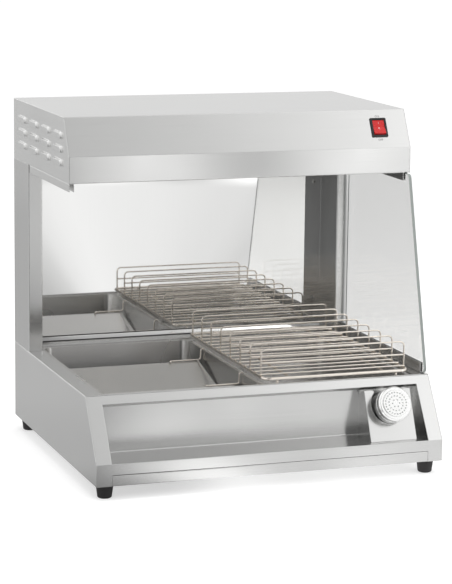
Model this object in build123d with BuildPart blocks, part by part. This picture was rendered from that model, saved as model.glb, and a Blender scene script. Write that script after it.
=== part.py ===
from build123d import *
import os
from math import atan2, cos, hypot, radians, sin, tan

# Chip warmer: a counter-top cabinet of folded stainless sheet.  A heated canopy
# on two rear posts looks down on a well that holds a chip pan with a V-shaped
# trough on the left and a wire rack for filled cartons on the right.  Below the
# well the sloping front has an open shelf with a cradle for a salt shaker.
#
# Frame: millimetres, X to the right, Y to the rear, +Z up.  The origin is on the
# floor, under the middle of the cabinet.

os.makedirs("parts", exist_ok=True)

# ---------------------------------------------------------------- driving sizes
# Cabinet
cabinet_width = 700.0
cabinet_depth = 611.0
sheet = 1.2                 # every folded cabinet panel
bend_radius = 2.0           # outside of each fold
edge_round = 0.8            # outer edges of the panels, rubbed down after welding
foot_height = 27.0
foot_top_radius = 17.0
foot_bottom_radius = 13.5
foot_chamfer = 2.0
foot_inset_x = 24.0         # foot axis from the side of the cabinet
foot_inset_y = 28.0         # foot axis from the front and from the rear
foot_screw_radius = 5.0     # hole in the foot
foot_screw_depth = 8.0
screw_head_radius = 4.5
screw_head_height = 3.5

# Base
nose_height = 42.0          # upright strip under the sloping front
slope_run = 75.5            # how far the sloping front leans back
rim_width = 30.0            # deck at each side of the well
front_rim = 4.0             # deck between the sloping front and the well
rear_rim = 65.5             # deck behind the well, which carries the posts
joggle = 4.0                # turned-down edge of the deck round the well
ledge = 8.0                 # width of the ledge under it that holds the pans

# Shelf in the sloping front
shelf_height = 99.0         # height of its mouth above the nose
shelf_top_border = 16.0     # between the mouth and the deck
shelf_flange = 12.0         # depth of the turned-in edge round the mouth
shelf_gap = 0.4             # between the back of the shelf and the pans' ledge

# Pans
pan_sheet = 1.0
pan_depth = 65.0
pan_corner = 20.0
pan_bend = 4.0
pan_draft = 6.0             # lean of the pans' drawn walls
pan_gap = 0.5               # play between a pan and the deck
chip_pan_edge = 6.0         # right edge of the chip pan's rim
drip_pan_edge = 7.0         # left edge of the drip pan's rim
inner_rim = 3.6             # width of the two rims where the pans meet

# Trough in the chip pan
trough_gap = 1.0            # trough's end from the foot of the pan's wall
trough_span = 240.0         # from one upper edge to the other
trough_rise = 44.0          # upper edges above the pan's floor
trough_lip = 8.0
trough_flare = 12.0         # height of the strip flared up at each end, over the fold
trough_flare_tip = 4.0      # and near the upper edges
trough_flare_run = 6.0      # how far it leans out
trough_flare_gap = 1.0      # between its ends and the hangers
hanger_wire = 3.2
hanger_reach = 73.0         # hook end of the hanger from the pan's right wall
hanger_hook = 9.0
hanger_bend = 4.0
hanger_seat = 0.3           # between the hanger and the pan's rim

# Carton rack
rack_inset_left = 2.7       # middle of the rail from the left edge of the drip pan's rim
rack_inset_right = 9.5      # and from its right edge
rack_inset_y = 4.0          # and from its front and rear edges
rack_clearance = 8.0        # rail above the drip pan's rim
rail_wire = 6.0
rail_corner = 14.0
rack_wire = 3.2
divider_count = 8
divider_pitch = 59.0
divider_height = 53.0       # top wire above the rail
divider_middle = 27.0       # middle wire above the rail
divider_bend = 9.0
support_wire = 4.0
support_inset = 52.0
rack_foot_wire = 5.0
rack_foot_inset = 26.0

# Crumb tray
tray_front_height = 21.0
tray_corner = 3.0           # upper corners of the notch for the tray's front
tray_gap = 0.6              # round the tray's front and beside the tray
tray_seat = 0.3             # under the tray
tray_length = 494.0
tray_height = 14.0
tray_inset = 15.0           # side of the tray from the end of its front
tray_front_flange = 9.0
runner_height = 10.0
runner_foot = 9.0

# Heating in the base
shield_drop = 30.0          # heat shield below the pans
shield_flange = 15.0
element_radius = 3.25
element_pitch = 164.0       # from one hairpin to the next
element_count = 3
element_width = 62.0        # between the two legs of a hairpin
element_bend = 28.0
element_length = 330.0
element_drop = 14.0         # element below the pans
clip_width = 14.0
element_terminal_length = 22.0
element_terminal_radius = 5.0

# Posts, back and canopy
post_width = 29.5
post_depth = 115.5
mirror_inset = 21.5         # mirror panel's face from the rear of the cabinet
canopy_clear = 384.0        # from the deck to the canopy
canopy_band = 51.0          # upright strip of the canopy's front
canopy_slope_rise = 72.0
canopy_slope_run = 37.6
canopy_overhang = 189.1     # canopy front from the cabinet's front
band_flange = 14.0
mirror_screw_radius = 4.5
mirror_screw_height = 2.5
mirror_screw_edge = 1.0
mirror_screw_inset = 45.0
mirror_screw_rows = (62.0, 316.0)

# Louvres pressed in each end of the canopy
louvre_rows = 3
louvre_row_pitch = 26.2
louvre_column_pitch = 90.8
louvre_length = 58.0
louvre_height = 13.0
louvre_corner = 9.0
louvre_bulge = 4.0
louvre_wall = 1.0
louvre_taper = 30.0
louvre_first_row = 28.0     # mouth of the lowest row above the canopy's lower edge
louvre_rear_inset = 42.5    # rear end of the last louvre from the rear

# Ceramic emitters in the canopy
emitter_length = 245.0
emitter_width = 60.0
emitter_thickness = 8.0
emitter_sagitta = 11.0
emitter_spacing = 268.0
emitter_setback = 176.4     # middle of the emitters behind the canopy's front
emitter_lift = 8.0          # lowest edge above the canopy's underside
emitter_neck_length = 40.0
emitter_neck_width = 16.0
emitter_neck_rise = 6.0     # neck above the reflector
emitter_neck_gap = 0.5
reflector_inset = 72.0      # reflector's mouth from the side of the cabinet
reflector_width = 120.0
reflector_taper = (36.0, 48.0)      # how much smaller its top is
reflector_height = 54.0
reflector_flange = 12.0
terminal_size = (34.0, 22.0, 18.0)

# Side glass and its channels
glass = 6.0
glass_gap = 0.8             # each side of the glass in a channel
glass_seat = 0.3            # under the glass
channel_depth = 16.0
lower_channel_depth = 20.0
channel_setback = 6.4       # front of the upper channels behind the canopy's front
lower_channel_setback = 14.0    # front of the lower channel behind the top of the slope
channel_inset = 2.0         # channel from the side of the cabinet
glass_rear_gap = 13.0       # rear edge of the glass in front of the post
glass_top_reach = 15.6      # upper front corner ahead of the canopy's front
glass_bottom_reach = 2.0    # lower front corner ahead of the top of the slope
glass_corner = 9.0

# Switch on the canopy's slope
switch_inset_x = 61.0
switch_up_slope = 42.7
bezel_width = 34.0
bezel_height = 40.4
bezel_thickness = 2.6
bezel_border = 4.6
bezel_corner = 2.0
switch_body_depth = 24.0
switch_body_inset = 2.0
rocker_gap = 0.4
rocker_depth = 9.0
rocker_rise = 3.6
rocker_dish = 2.6
rocker_pivot_depth = 3.0
rocker_tilt = 7.0
rocker_pin_radius = 1.5
rocker_pin_play = 0.05
rocker_pin_reach = 1.2
bezel_chamfer = 1.0

# Salt shaker and its cradle
cradle_inset_x = 65.0       # middle of the cradle from the shelf's right end
cradle_width = 96.0
cradle_length = 102.0
cradle_lean = 24.0
cradle_setback = 17.5       # foot of the cradle's face from the nose
cradle_hole_up = 71.6
cradle_cusp = 4.0
cheek_fall = 12.0           # top of the cradle's cheeks, from the face back to the shelf
stop_distance = 27.5        # stop behind the cradle's face
stop_low = 40.0
stop_high = 78.0
can_radius = 33.0
can_wall = 1.0
can_front = 24.0            # mouth of the can in front of the cradle's face
can_play = 4.5              # the can rests on the lower edge of a wider hole
can_gap = 0.3
lid_radius = 34.2
lid_wall = 1.0
lid_skirt = 15.0
lid_front = 33.0
lid_shoulder = 3.0
lid_disc_radius = 26.0
lid_disc_rise = 1.8
lid_fit = 0.2               # play between the lid's skirt and the can
lid_hem = 0.7
lid_hole_radius = 1.1
lid_ring_counts = (24, 15, 6)
lid_ring_radii = (21.4, 14.6, 7.3)

# Cable gland
gland_inset_x = 100.0
gland_inset_y = 40.0
gland_nut_radius = 12.0
gland_nut_height = 14.0
gland_body_radius = 8.0
gland_bore_radius = 4.5
gland_lock_height = 5.0

# Vent slots in the floor and the back of the base
vent_slots = 9
vent_pitch = 24.0
floor_slot = (38.0, 6.0)
back_slot = (60.0, 7.0)

# ------------------------------------------------------------- derived places
half_width = cabinet_width / 2
inner_half = half_width - sheet
front = -cabinet_depth / 2
rear = cabinet_depth / 2
base_z = foot_height
nose_z = base_z + nose_height
base_height = nose_height + shelf_height + shelf_top_border
deck_z = base_z + base_height
slope_top_y = front + slope_run
slope_lean = atan2(slope_run, base_height - nose_height)
well_half = half_width - rim_width
well_front = slope_top_y + front_rim
well_rear = rear - rear_rim
well_length = well_rear - well_front
well_middle = (well_front + well_rear) / 2
ledge_z = deck_z - joggle
shelf_top_z = nose_z + shelf_height
shelf_mouth = shelf_height / cos(slope_lean)
shelf_back_y = well_front + ledge - shelf_gap - sheet
pan_floor_z = ledge_z - pan_depth
pan_front = well_front + ledge + pan_gap
pan_rear = well_rear - ledge - pan_gap
canopy_z = deck_z + canopy_clear
canopy_break_z = canopy_z + canopy_band
canopy_top_z = canopy_break_z + canopy_slope_rise
canopy_front = front + canopy_overhang
canopy_top_y = canopy_front + canopy_slope_run
canopy_lean = atan2(canopy_slope_run, canopy_slope_rise)
post_front = rear - post_depth
mirror_y = rear - mirror_inset

front_slope = Plane(
    origin=(0, front, nose_z), x_dir=(1, 0, 0), z_dir=(0, -cos(slope_lean), sin(slope_lean))
)
from_front = (Align.CENTER, Align.MIN, Align.MIN)
from_floor = (Align.CENTER, Align.CENTER, Align.MIN)


def bent_sheet(*points, side=Side.RIGHT, thickness=sheet):
    """Draw the section of a folded sheet from the line of one face, with round folds."""
    with BuildLine() as first_face:
        FilletPolyline(*points, radius=bend_radius)
        offset(amount=thickness, side=side)
    make_face(first_face.line)


def slope_y(z, inward=0.0):
    """Y of the sloping front at height z, or of a plane further inside it."""
    return front + (z - nose_z) * tan(slope_lean) + inward / cos(slope_lean)


# ----------------------------------------------------------------- base panels
with BuildPart() as base_side_right:
    with BuildSketch(Plane.YZ.offset(inner_half)):
        with BuildLine():
            Polyline(
                (front, base_z),
                (front, nose_z),
                (slope_y(deck_z - sheet), deck_z - sheet),
                (rear, deck_z - sheet),
                (rear, base_z),
                close=True,
            )
        make_face()
    extrude(amount=sheet)
    fillet(faces().sort_by(Axis.X)[-1].edges(), edge_round)

with BuildPart() as base_side_left:
    mirror(base_side_right.part, about=Plane.YZ)

# Front frame: nose, sloping face with the shelf's mouth, and the notch that the
# crumb tray's front fills.
with BuildPart() as base_front:
    with BuildSketch(front_slope.offset(-sheet)):
        Rectangle(
            2 * (well_half + sheet), shelf_mouth + sheet, align=(Align.CENTER, Align.MIN)
        )
        Rectangle(
            2 * well_half, shelf_mouth, align=(Align.CENTER, Align.MIN), mode=Mode.SUBTRACT
        )
    extrude(amount=-shelf_flange)
    split(bisect_by=Plane.XY.offset(nose_z), keep=Keep.TOP)
    with BuildSketch(Plane.YZ):
        bent_sheet((front, base_z), (front, nose_z), (slope_y(deck_z - sheet), deck_z - sheet))
    extrude(amount=inner_half, both=True)
    with BuildSketch(front_slope):
        Rectangle(2 * well_half, shelf_mouth, align=(Align.CENTER, Align.MIN))
    extrude(amount=2 * sheet, both=True, mode=Mode.SUBTRACT)
    with BuildSketch(Plane.XZ.offset(-front)):
        with Locations((0, base_z)):
            RectangleRounded(2 * well_half, 2 * tray_front_height, tray_corner)
    extrude(amount=-2 * sheet, mode=Mode.SUBTRACT)
    split(bisect_by=Plane.XY.offset(deck_z - sheet), keep=Keep.BOTTOM)

# Floor of the base with vent slots behind the crumb tray and a hole for the gland.
gland_x = half_width - gland_inset_x
gland_y = rear - gland_inset_y
with BuildPart() as base_floor:
    with Locations((0, front + sheet, base_z)):
        Box(2 * inner_half, cabinet_depth - 2 * sheet, sheet, align=from_front)
    with BuildSketch(Plane.XY.offset(base_z)):
        with Locations((0, gland_y)):
            with GridLocations(vent_pitch, 1, vent_slots, 1):
                SlotOverall(*floor_slot, rotation=90)
        with Locations((gland_x, gland_y)):
            Circle(gland_body_radius)
    extrude(amount=sheet, mode=Mode.SUBTRACT)

with BuildPart() as base_back:
    with Locations((0, rear - sheet, base_z)):
        Box(2 * inner_half, sheet, base_height - sheet, align=from_front)
    with BuildSketch(Plane.XZ.offset(-rear)):
        with Locations((0, base_z + base_height / 2)):
            with GridLocations(vent_pitch, 1, vent_slots, 1):
                SlotOverall(*back_slot, rotation=90)
    extrude(amount=sheet, mode=Mode.SUBTRACT)

# Deck: one sheet with the well's mouth, whose edge is turned down all round.
with BuildPart() as deck:
    with Locations((0, slope_top_y, deck_z - sheet)):
        Box(cabinet_width, rear - sheet - slope_top_y, sheet, align=from_front)
    deck_top = faces().sort_by(Axis.Z)[-1]
    fillet(deck_top.edges().sort_by(Axis.Y)[:-1], edge_round)
    with BuildSketch(Plane.XY.offset(ledge_z)):
        with Locations((0, well_middle)):
            Rectangle(2 * (well_half + sheet), well_length + 2 * sheet)
    extrude(amount=joggle)
    with BuildSketch(Plane.XY.offset(ledge_z)):
        with Locations((0, well_middle)):
            Rectangle(2 * well_half, well_length)
    extrude(amount=joggle, mode=Mode.SUBTRACT)

# Ledge: a flat frame welded to the deck's turned-down edge, which the pans lie on.
with BuildPart() as pan_ledge:
    with BuildSketch(Plane.XY.offset(ledge_z)):
        with Locations((0, well_middle)):
            Rectangle(2 * (well_half + sheet), well_length + 2 * sheet)
            Rectangle(2 * (well_half - ledge), well_length - 2 * ledge, mode=Mode.SUBTRACT)
    extrude(amount=-sheet)

# Shelf: floor, back and short roof from one sheet, and an end plate each side
# that carries on from the turned-in edge of the mouth.
shelf_roof_z = ledge_z - 2 * sheet
with BuildPart() as shelf_liner:
    with BuildSketch(Plane.YZ):
        bent_sheet(
            (front + sheet, nose_z),
            (shelf_back_y, nose_z),
            (shelf_back_y, shelf_roof_z),
            (slope_y(shelf_roof_z + sheet, sheet), shelf_roof_z),
        )
    extrude(amount=well_half, both=True)

with BuildPart() as shelf_end_right:
    with BuildSketch(Plane.YZ.offset(well_half)):
        with BuildLine():
            Polyline(
                (slope_y(nose_z, sheet + shelf_flange), nose_z),
                (shelf_back_y + sheet, nose_z),
                (shelf_back_y + sheet, shelf_roof_z),
                (slope_y(shelf_roof_z, sheet + shelf_flange), shelf_roof_z),
                close=True,
            )
        make_face()
    extrude(amount=sheet)

with BuildPart() as shelf_end_left:
    mirror(shelf_end_right.part, about=Plane.YZ)

# Tapered rubber feet, each with a sunk screw.
foot_x = half_width - foot_inset_x
foot_y = cabinet_depth / 2 - foot_inset_y
with BuildPart() as foot:
    with Locations((foot_x, foot_y, 0)):
        Cone(foot_bottom_radius, foot_top_radius, foot_height, align=from_floor)
    chamfer(edges().filter_by(GeomType.CIRCLE).group_by(Axis.Z)[0], foot_chamfer)
    with Locations((foot_x, foot_y, 0)):
        Cylinder(foot_screw_radius, foot_screw_depth, align=from_floor, mode=Mode.SUBTRACT)
with BuildPart() as foot_rear_right:
    add(foot.part)
with BuildPart() as foot_rear_left:
    mirror(foot.part, about=Plane.YZ)
with BuildPart() as foot_front_right:
    mirror(foot.part, about=Plane.XZ)
with BuildPart() as foot_front_left:
    mirror(foot_front_right.part, about=Plane.YZ)

with BuildPart() as foot_screws:
    with Locations((0, 0, foot_screw_depth - screw_head_height)):
        with GridLocations(2 * foot_x, 2 * foot_y, 2, 2):
            Cylinder(screw_head_radius, screw_head_height, align=from_floor)

# Cable gland through the base's floor: the cap nut hangs in the space under it.
with BuildPart() as cable_gland:
    with BuildSketch(Plane.XY.offset(base_z - gland_nut_height)):
        with Locations((gland_x, gland_y)):
            RegularPolygon(gland_nut_radius, 6)
    extrude(amount=gland_nut_height)
    with Locations((gland_x, gland_y, base_z)):
        Cylinder(gland_body_radius, gland_nut_height, align=from_floor)
    with Locations((gland_x, gland_y, base_z + sheet)):
        Cylinder(gland_nut_radius, gland_lock_height, align=from_floor)
    with Locations((gland_x, gland_y, base_z)):
        Cylinder(gland_bore_radius, 3 * gland_nut_height, mode=Mode.SUBTRACT)

# ------------------------------------------------------------------ crumb tray
tray_half = well_half - tray_inset
tray_z = base_z + sheet + tray_seat
with BuildPart() as crumb_tray:
    with Locations((0, front + sheet, tray_z)):
        Box(2 * tray_half, tray_length, tray_height, align=from_front)
    offset(amount=-pan_sheet, openings=faces().sort_by(Axis.Z)[-1])

with BuildPart() as crumb_tray_front:
    with BuildSketch(Plane.YZ):
        bent_sheet(
            (front, base_z + tray_gap),
            (front, base_z + tray_front_height - tray_gap),
            (front + tray_front_flange, base_z + tray_front_height - tray_gap),
        )
    extrude(amount=well_half - tray_gap, both=True)
    with BuildSketch(Plane.XZ.offset(-front)):
        with Locations((0, base_z)):
            RectangleRounded(
                2 * (well_half - tray_gap),
                2 * (tray_front_height - tray_gap),
                tray_corner - tray_gap,
            )
    extrude(amount=-tray_front_flange, mode=Mode.INTERSECT)

with BuildPart() as tray_runners:
    with BuildSketch(Plane.XZ.offset(-front - 2 * sheet)):
        bent_sheet(
            (tray_half + tray_gap, base_z + sheet + runner_height),
            (tray_half + tray_gap, base_z + sheet),
            (tray_half + tray_gap + runner_foot, base_z + sheet),
            side=Side.LEFT,
        )
    extrude(amount=-tray_length)
    mirror(about=Plane.YZ)

# ------------------------------------------------------------------------ pans
pan_wall_left = -(well_half - ledge - pan_gap)
rim_outer = well_half - pan_gap
chip_wall_right = chip_pan_edge - inner_rim + pan_sheet
drip_wall_left = drip_pan_edge + inner_rim - pan_sheet


def drawn_pan(wall_low, wall_high, rim_low, rim_high):
    """A drawn pan between two side walls, with a flat rim that lies on the ledge."""
    with BuildPart() as pan:
        for inset, depth, bend, mode in (
            (0.0, pan_depth + pan_sheet, pan_bend, Mode.ADD),
            (pan_sheet / cos(radians(pan_draft)), pan_depth, pan_bend - pan_sheet, Mode.SUBTRACT),
        ):
            with BuildPart(mode=mode) as drawn:
                with BuildSketch(Plane.XY.offset(ledge_z)):
                    with Locations(((wall_low + wall_high) / 2, well_middle)):
                        RectangleRounded(
                            wall_high - wall_low - 2 * inset,
                            pan_rear - pan_front - 2 * inset,
                            pan_corner - inset,
                        )
                extrude(amount=-depth, taper=pan_draft)
                fillet(drawn.faces().sort_by(Axis.Z)[0].edges(), bend)
        with BuildSketch(Plane.XY.offset(ledge_z)):
            with Locations(((rim_low + rim_high) / 2, well_middle)):
                Rectangle(rim_high - rim_low, well_length - 2 * pan_gap)
            with Locations(((wall_low + wall_high) / 2, well_middle)):
                RectangleRounded(
                    wall_high - wall_low - 2 * pan_sheet,
                    pan_rear - pan_front - 2 * pan_sheet,
                    pan_corner - pan_sheet,
                    mode=Mode.SUBTRACT,
                )
        extrude(amount=pan_sheet)
    return pan


chip_pan = drawn_pan(pan_wall_left, chip_wall_right, -rim_outer, chip_pan_edge)
drip_pan = drawn_pan(drip_wall_left, -pan_wall_left, drip_pan_edge, rim_outer)

# Trough: two slopes folded from one sheet, a turned-down lip along each upper
# edge and a strip flared up and outwards at each end.
trough_inset = pan_sheet + pan_depth * tan(radians(pan_draft)) + trough_gap
trough_left = pan_wall_left + trough_inset
trough_right = chip_wall_right - trough_inset
trough_mid_x = (trough_left + trough_right) / 2
trough_half = (trough_right - trough_left) / 2
trough_top_z = pan_floor_z + trough_rise
trough_lean = atan2(trough_rise, trough_span / 2)
valley_z = pan_floor_z + pan_sheet / cos(trough_lean)
trough_edges = (well_middle - trough_span / 2, well_middle + trough_span / 2)
flare_half = trough_span / 2 - hanger_wire - trough_flare_gap
flare_low_z = valley_z + flare_half * tan(trough_lean)
with BuildPart() as chip_trough:
    with BuildSketch(Plane.YZ.offset(trough_mid_x)):
        bent_sheet(
            (trough_edges[0], trough_top_z - trough_lip),
            (trough_edges[0], trough_top_z),
            (well_middle, valley_z),
            (trough_edges[1], trough_top_z),
            (trough_edges[1], trough_top_z - trough_lip),
            thickness=pan_sheet,
        )
    extrude(amount=trough_half - trough_flare_run, both=True)
    for flare_x, outward in (
        (trough_left + trough_flare_run, -trough_flare_run),
        (trough_right - trough_flare_run, trough_flare_run),
    ):
        with BuildSketch(Plane.YZ.offset(flare_x)):
            with BuildLine():
                Polyline(
                    (well_middle - flare_half, flare_low_z),
                    (well_middle, valley_z),
                    (well_middle + flare_half, flare_low_z),
                    (well_middle + flare_half, flare_low_z - pan_sheet),
                    (well_middle, valley_z - pan_sheet),
                    (well_middle - flare_half, flare_low_z - pan_sheet),
                    close=True,
                )
            make_face()
        extrude(amount=hypot(trough_flare_run, trough_flare), dir=(outward, 0, trough_flare))
    with BuildSketch(Plane.YZ):
        with BuildLine():
            Polyline(
                (trough_edges[0], trough_top_z + trough_flare_tip),
                (well_middle, valley_z + trough_flare),
                (trough_edges[1], trough_top_z + trough_flare_tip),
                (trough_edges[1], ledge_z),
                (trough_edges[0], ledge_z),
                close=True,
            )
        make_face()
    extrude(amount=well_half, both=True, mode=Mode.SUBTRACT)


def bent_wire(radius, *points, bend, closed=False):
    """Sweep a round wire along straight runs joined by bends."""
    with BuildPart() as wire:
        with BuildLine() as run:
            FilletPolyline(*points, radius=bend, close=closed)
        with BuildSketch(Plane(origin=run.line @ 0, z_dir=run.line % 0)):
            Circle(radius)
        sweep(path=run.line)
    return wire.part


# Hangers: a wire along each upper edge of the trough, hooked down at its free end
# and cranked up so that it rests on the chip pan's right rim.
hanger_r = hanger_wire / 2
crank_x = chip_wall_right - pan_sheet - hanger_bend
hanger_x = chip_wall_right - hanger_reach
hanger_low_z = trough_top_z + hanger_r
hanger_high_z = ledge_z + pan_sheet + hanger_seat + hanger_r
with BuildPart() as trough_hangers:
    for edge_y, inward in ((trough_edges[0], 1), (trough_edges[1], -1)):
        wire_y = edge_y + inward * hanger_r
        add(
            bent_wire(
                hanger_r,
                (hanger_x, wire_y + inward * hanger_hook, hanger_low_z - hanger_r),
                (hanger_x, wire_y, hanger_low_z),
                (crank_x - hanger_r, wire_y, hanger_low_z),
                (crank_x, wire_y, hanger_high_z),
                (chip_pan_edge - sheet, wire_y, hanger_high_z),
                bend=hanger_bend,
            )
        )

# ----------------------------------------------------------------- carton rack
rail_r = rail_wire / 2
wire_r = rack_wire / 2
rail_z = ledge_z + pan_sheet + rack_clearance + rail_r
floor_wire_z = rail_z + rail_r + wire_r
rack_left = drip_pan_edge + rack_inset_left
rack_right = rim_outer - rack_inset_right
rack_front = well_front + pan_gap + rack_inset_y
rack_rear = well_rear - pan_gap - rack_inset_y
rack_mid_x = (rack_left + rack_right) / 2
rack_mid_y = (rack_front + rack_rear) / 2
rack_span = rack_right - rack_left
divider_front = rack_mid_y - (divider_count - 1) * divider_pitch / 2

with BuildPart() as rack_rail:
    with BuildLine() as rail_path:
        FilletPolyline(
            (rack_left, rack_front, rail_z),
            (rack_right, rack_front, rail_z),
            (rack_right, rack_rear, rail_z),
            (rack_left, rack_rear, rail_z),
            radius=rail_corner,
            close=True,
        )
    with BuildSketch(Plane(origin=rail_path.line @ 0, z_dir=rail_path.line % 0)):
        Circle(rail_r)
    sweep(path=rail_path.line)

# Floor wires lie across the rail, two to each divider pitch.
floor_wire_count = 2 * divider_count - 1
with BuildPart() as rack_floor_wires:
    with Locations((rack_mid_x, rack_mid_y, floor_wire_z)):
        with GridLocations(1, divider_pitch / 2, 1, floor_wire_count):
            Cylinder(wire_r, rack_span + rack_wire, rotation=(0, 90, 0))

support_r = support_wire / 2
with BuildPart() as rack_support_wires:
    with Locations((rack_mid_x, rack_mid_y, floor_wire_z - wire_r - support_r)):
        with GridLocations(rack_span - 2 * support_inset, 1, 2, 1):
            Cylinder(support_r, rack_rear - rack_front - rail_wire, rotation=(90, 0, 0))

# Each divider is an inverted U of wire: two posts on the ends of a floor wire, a
# top wire with bent shoulders, and a middle wire between the posts.
post_low_z = floor_wire_z + wire_r
divider_top_z = rail_z + divider_height
shoulder_z = divider_top_z - divider_bend - wire_r
with BuildPart() as rack_posts:
    with Locations((rack_mid_x, rack_mid_y, post_low_z)):
        with GridLocations(rack_span, divider_pitch, 2, divider_count):
            Cylinder(wire_r, shoulder_z - post_low_z, align=from_floor)

top_wire = bent_wire(
    wire_r,
    (rack_left, divider_front, shoulder_z),
    (rack_left, divider_front, divider_top_z),
    (rack_right, divider_front, divider_top_z),
    (rack_right, divider_front, shoulder_z),
    bend=divider_bend,
)
with BuildPart() as rack_top_wires:
    with Locations((0, rack_mid_y - divider_front, 0)):
        with GridLocations(1, divider_pitch, 1, divider_count):
            add(top_wire)

with BuildPart() as rack_middle_wires:
    with Locations((rack_mid_x, rack_mid_y, rail_z + divider_middle)):
        with GridLocations(1, divider_pitch, 1, divider_count):
            Cylinder(wire_r, rack_span - rack_wire, rotation=(0, 90, 0))

rack_foot_r = rack_foot_wire / 2
rack_foot_z = ledge_z + pan_sheet
with BuildPart() as rack_feet:
    with Locations((rack_mid_x, rack_mid_y, rack_foot_z)):
        with GridLocations(rack_span - 2 * rack_foot_inset, rack_rear - rack_front, 2, 2):
            Cylinder(rack_foot_r, rack_clearance, align=from_floor)

# ------------------------------------------------------------- heat in the base
shield_z = pan_floor_z - pan_sheet - shield_drop
shield_front = shelf_back_y + 2 * sheet
with BuildPart() as heat_shield:
    with BuildSketch(Plane.XZ.offset(-shield_front)):
        bent_sheet(
            (-inner_half, shield_z - shield_flange),
            (-inner_half, shield_z),
            (inner_half, shield_z),
            (inner_half, shield_z - shield_flange),
        )
    extrude(amount=-(rear - sheet - shield_front))

element_z = pan_floor_z - pan_sheet - element_drop
element_front = well_middle - element_length / 2
element_rear = well_middle + element_length / 2
hairpin = bent_wire(
    element_radius,
    (-element_width / 2, element_rear, element_z),
    (-element_width / 2, element_front, element_z),
    (element_width / 2, element_front, element_z),
    (element_width / 2, element_rear, element_z),
    bend=element_bend,
)
with BuildPart() as base_elements:
    with GridLocations(element_pitch, 1, element_count, 1):
        add(hairpin)

with BuildPart() as element_clips:
    with Locations((0, well_middle, shield_z)):
        with GridLocations(element_pitch, element_length / 2, element_count, 2):
            with GridLocations(element_width, 1, 2, 1):
                Box(
                    clip_width,
                    clip_width,
                    element_z - element_radius - shield_z,
                    align=from_floor,
                )

with BuildPart() as element_terminals:
    with Locations((0, element_rear, element_z)):
        with GridLocations(element_pitch, 1, element_count, 1):
            with GridLocations(element_width, 1, 2, 1):
                Cylinder(
                    element_terminal_radius,
                    element_terminal_length,
                    rotation=(-90, 0, 0),
                    align=from_floor,
                )

# ------------------------------------------------------------- posts and backs
post_inner_x = half_width - post_width
with BuildPart() as post_right:
    with BuildSketch(Plane.XY.offset(deck_z)):
        bent_sheet(
            (post_inner_x, mirror_y),
            (post_inner_x, post_front),
            (half_width, post_front),
            (half_width, rear - sheet),
            side=Side.LEFT,
        )
    extrude(amount=canopy_clear)

with BuildPart() as post_left:
    mirror(post_right.part, about=Plane.YZ)

with BuildPart() as mirror_panel:
    with Locations((0, mirror_y, deck_z)):
        Box(2 * (post_inner_x + ledge), sheet, canopy_clear, align=from_front)

with BuildPart() as mirror_screws:
    with Locations(*((0, mirror_y, deck_z + height) for height in mirror_screw_rows)):
        with GridLocations(2 * (half_width - mirror_screw_inset), 1, 2, 1):
            Cylinder(
                mirror_screw_radius,
                mirror_screw_height,
                rotation=(90, 0, 0),
                align=from_floor,
            )
    chamfer(edges().filter_by(GeomType.CIRCLE).group_by(Axis.Y)[0], mirror_screw_edge)

with BuildPart() as back_panel:
    with Locations((0, rear - sheet, deck_z - sheet)):
        Box(cabinet_width, sheet, canopy_z - deck_z + sheet, align=from_front)
    with Locations((0, rear - sheet, canopy_z)):
        Box(2 * inner_half, sheet, canopy_top_z - canopy_z - sheet, align=from_front)

# ---------------------------------------------------------------------- canopy
canopy_slope = Plane(
    origin=(0, canopy_front, canopy_break_z),
    x_dir=(1, 0, 0),
    z_dir=(0, -cos(canopy_lean), sin(canopy_lean)),
)
switch_face = Plane(
    origin=canopy_slope.from_local_coords((half_width - switch_inset_x, switch_up_slope, 0)),
    x_dir=canopy_slope.x_dir,
    z_dir=canopy_slope.z_dir,
)
switch_body = (bezel_width - 2 * switch_body_inset, bezel_height - 2 * switch_body_inset)

with BuildPart() as canopy_shell:
    with BuildSketch(Plane.YZ):
        bent_sheet(
            (canopy_front + band_flange, canopy_z),
            (canopy_front, canopy_z),
            (canopy_front, canopy_break_z),
            (canopy_top_y, canopy_top_z),
            (rear, canopy_top_z),
        )
    extrude(amount=inner_half, both=True)
    with BuildSketch(switch_face):
        Rectangle(*switch_body)
    extrude(amount=2 * sheet, both=True, mode=Mode.SUBTRACT)

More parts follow.
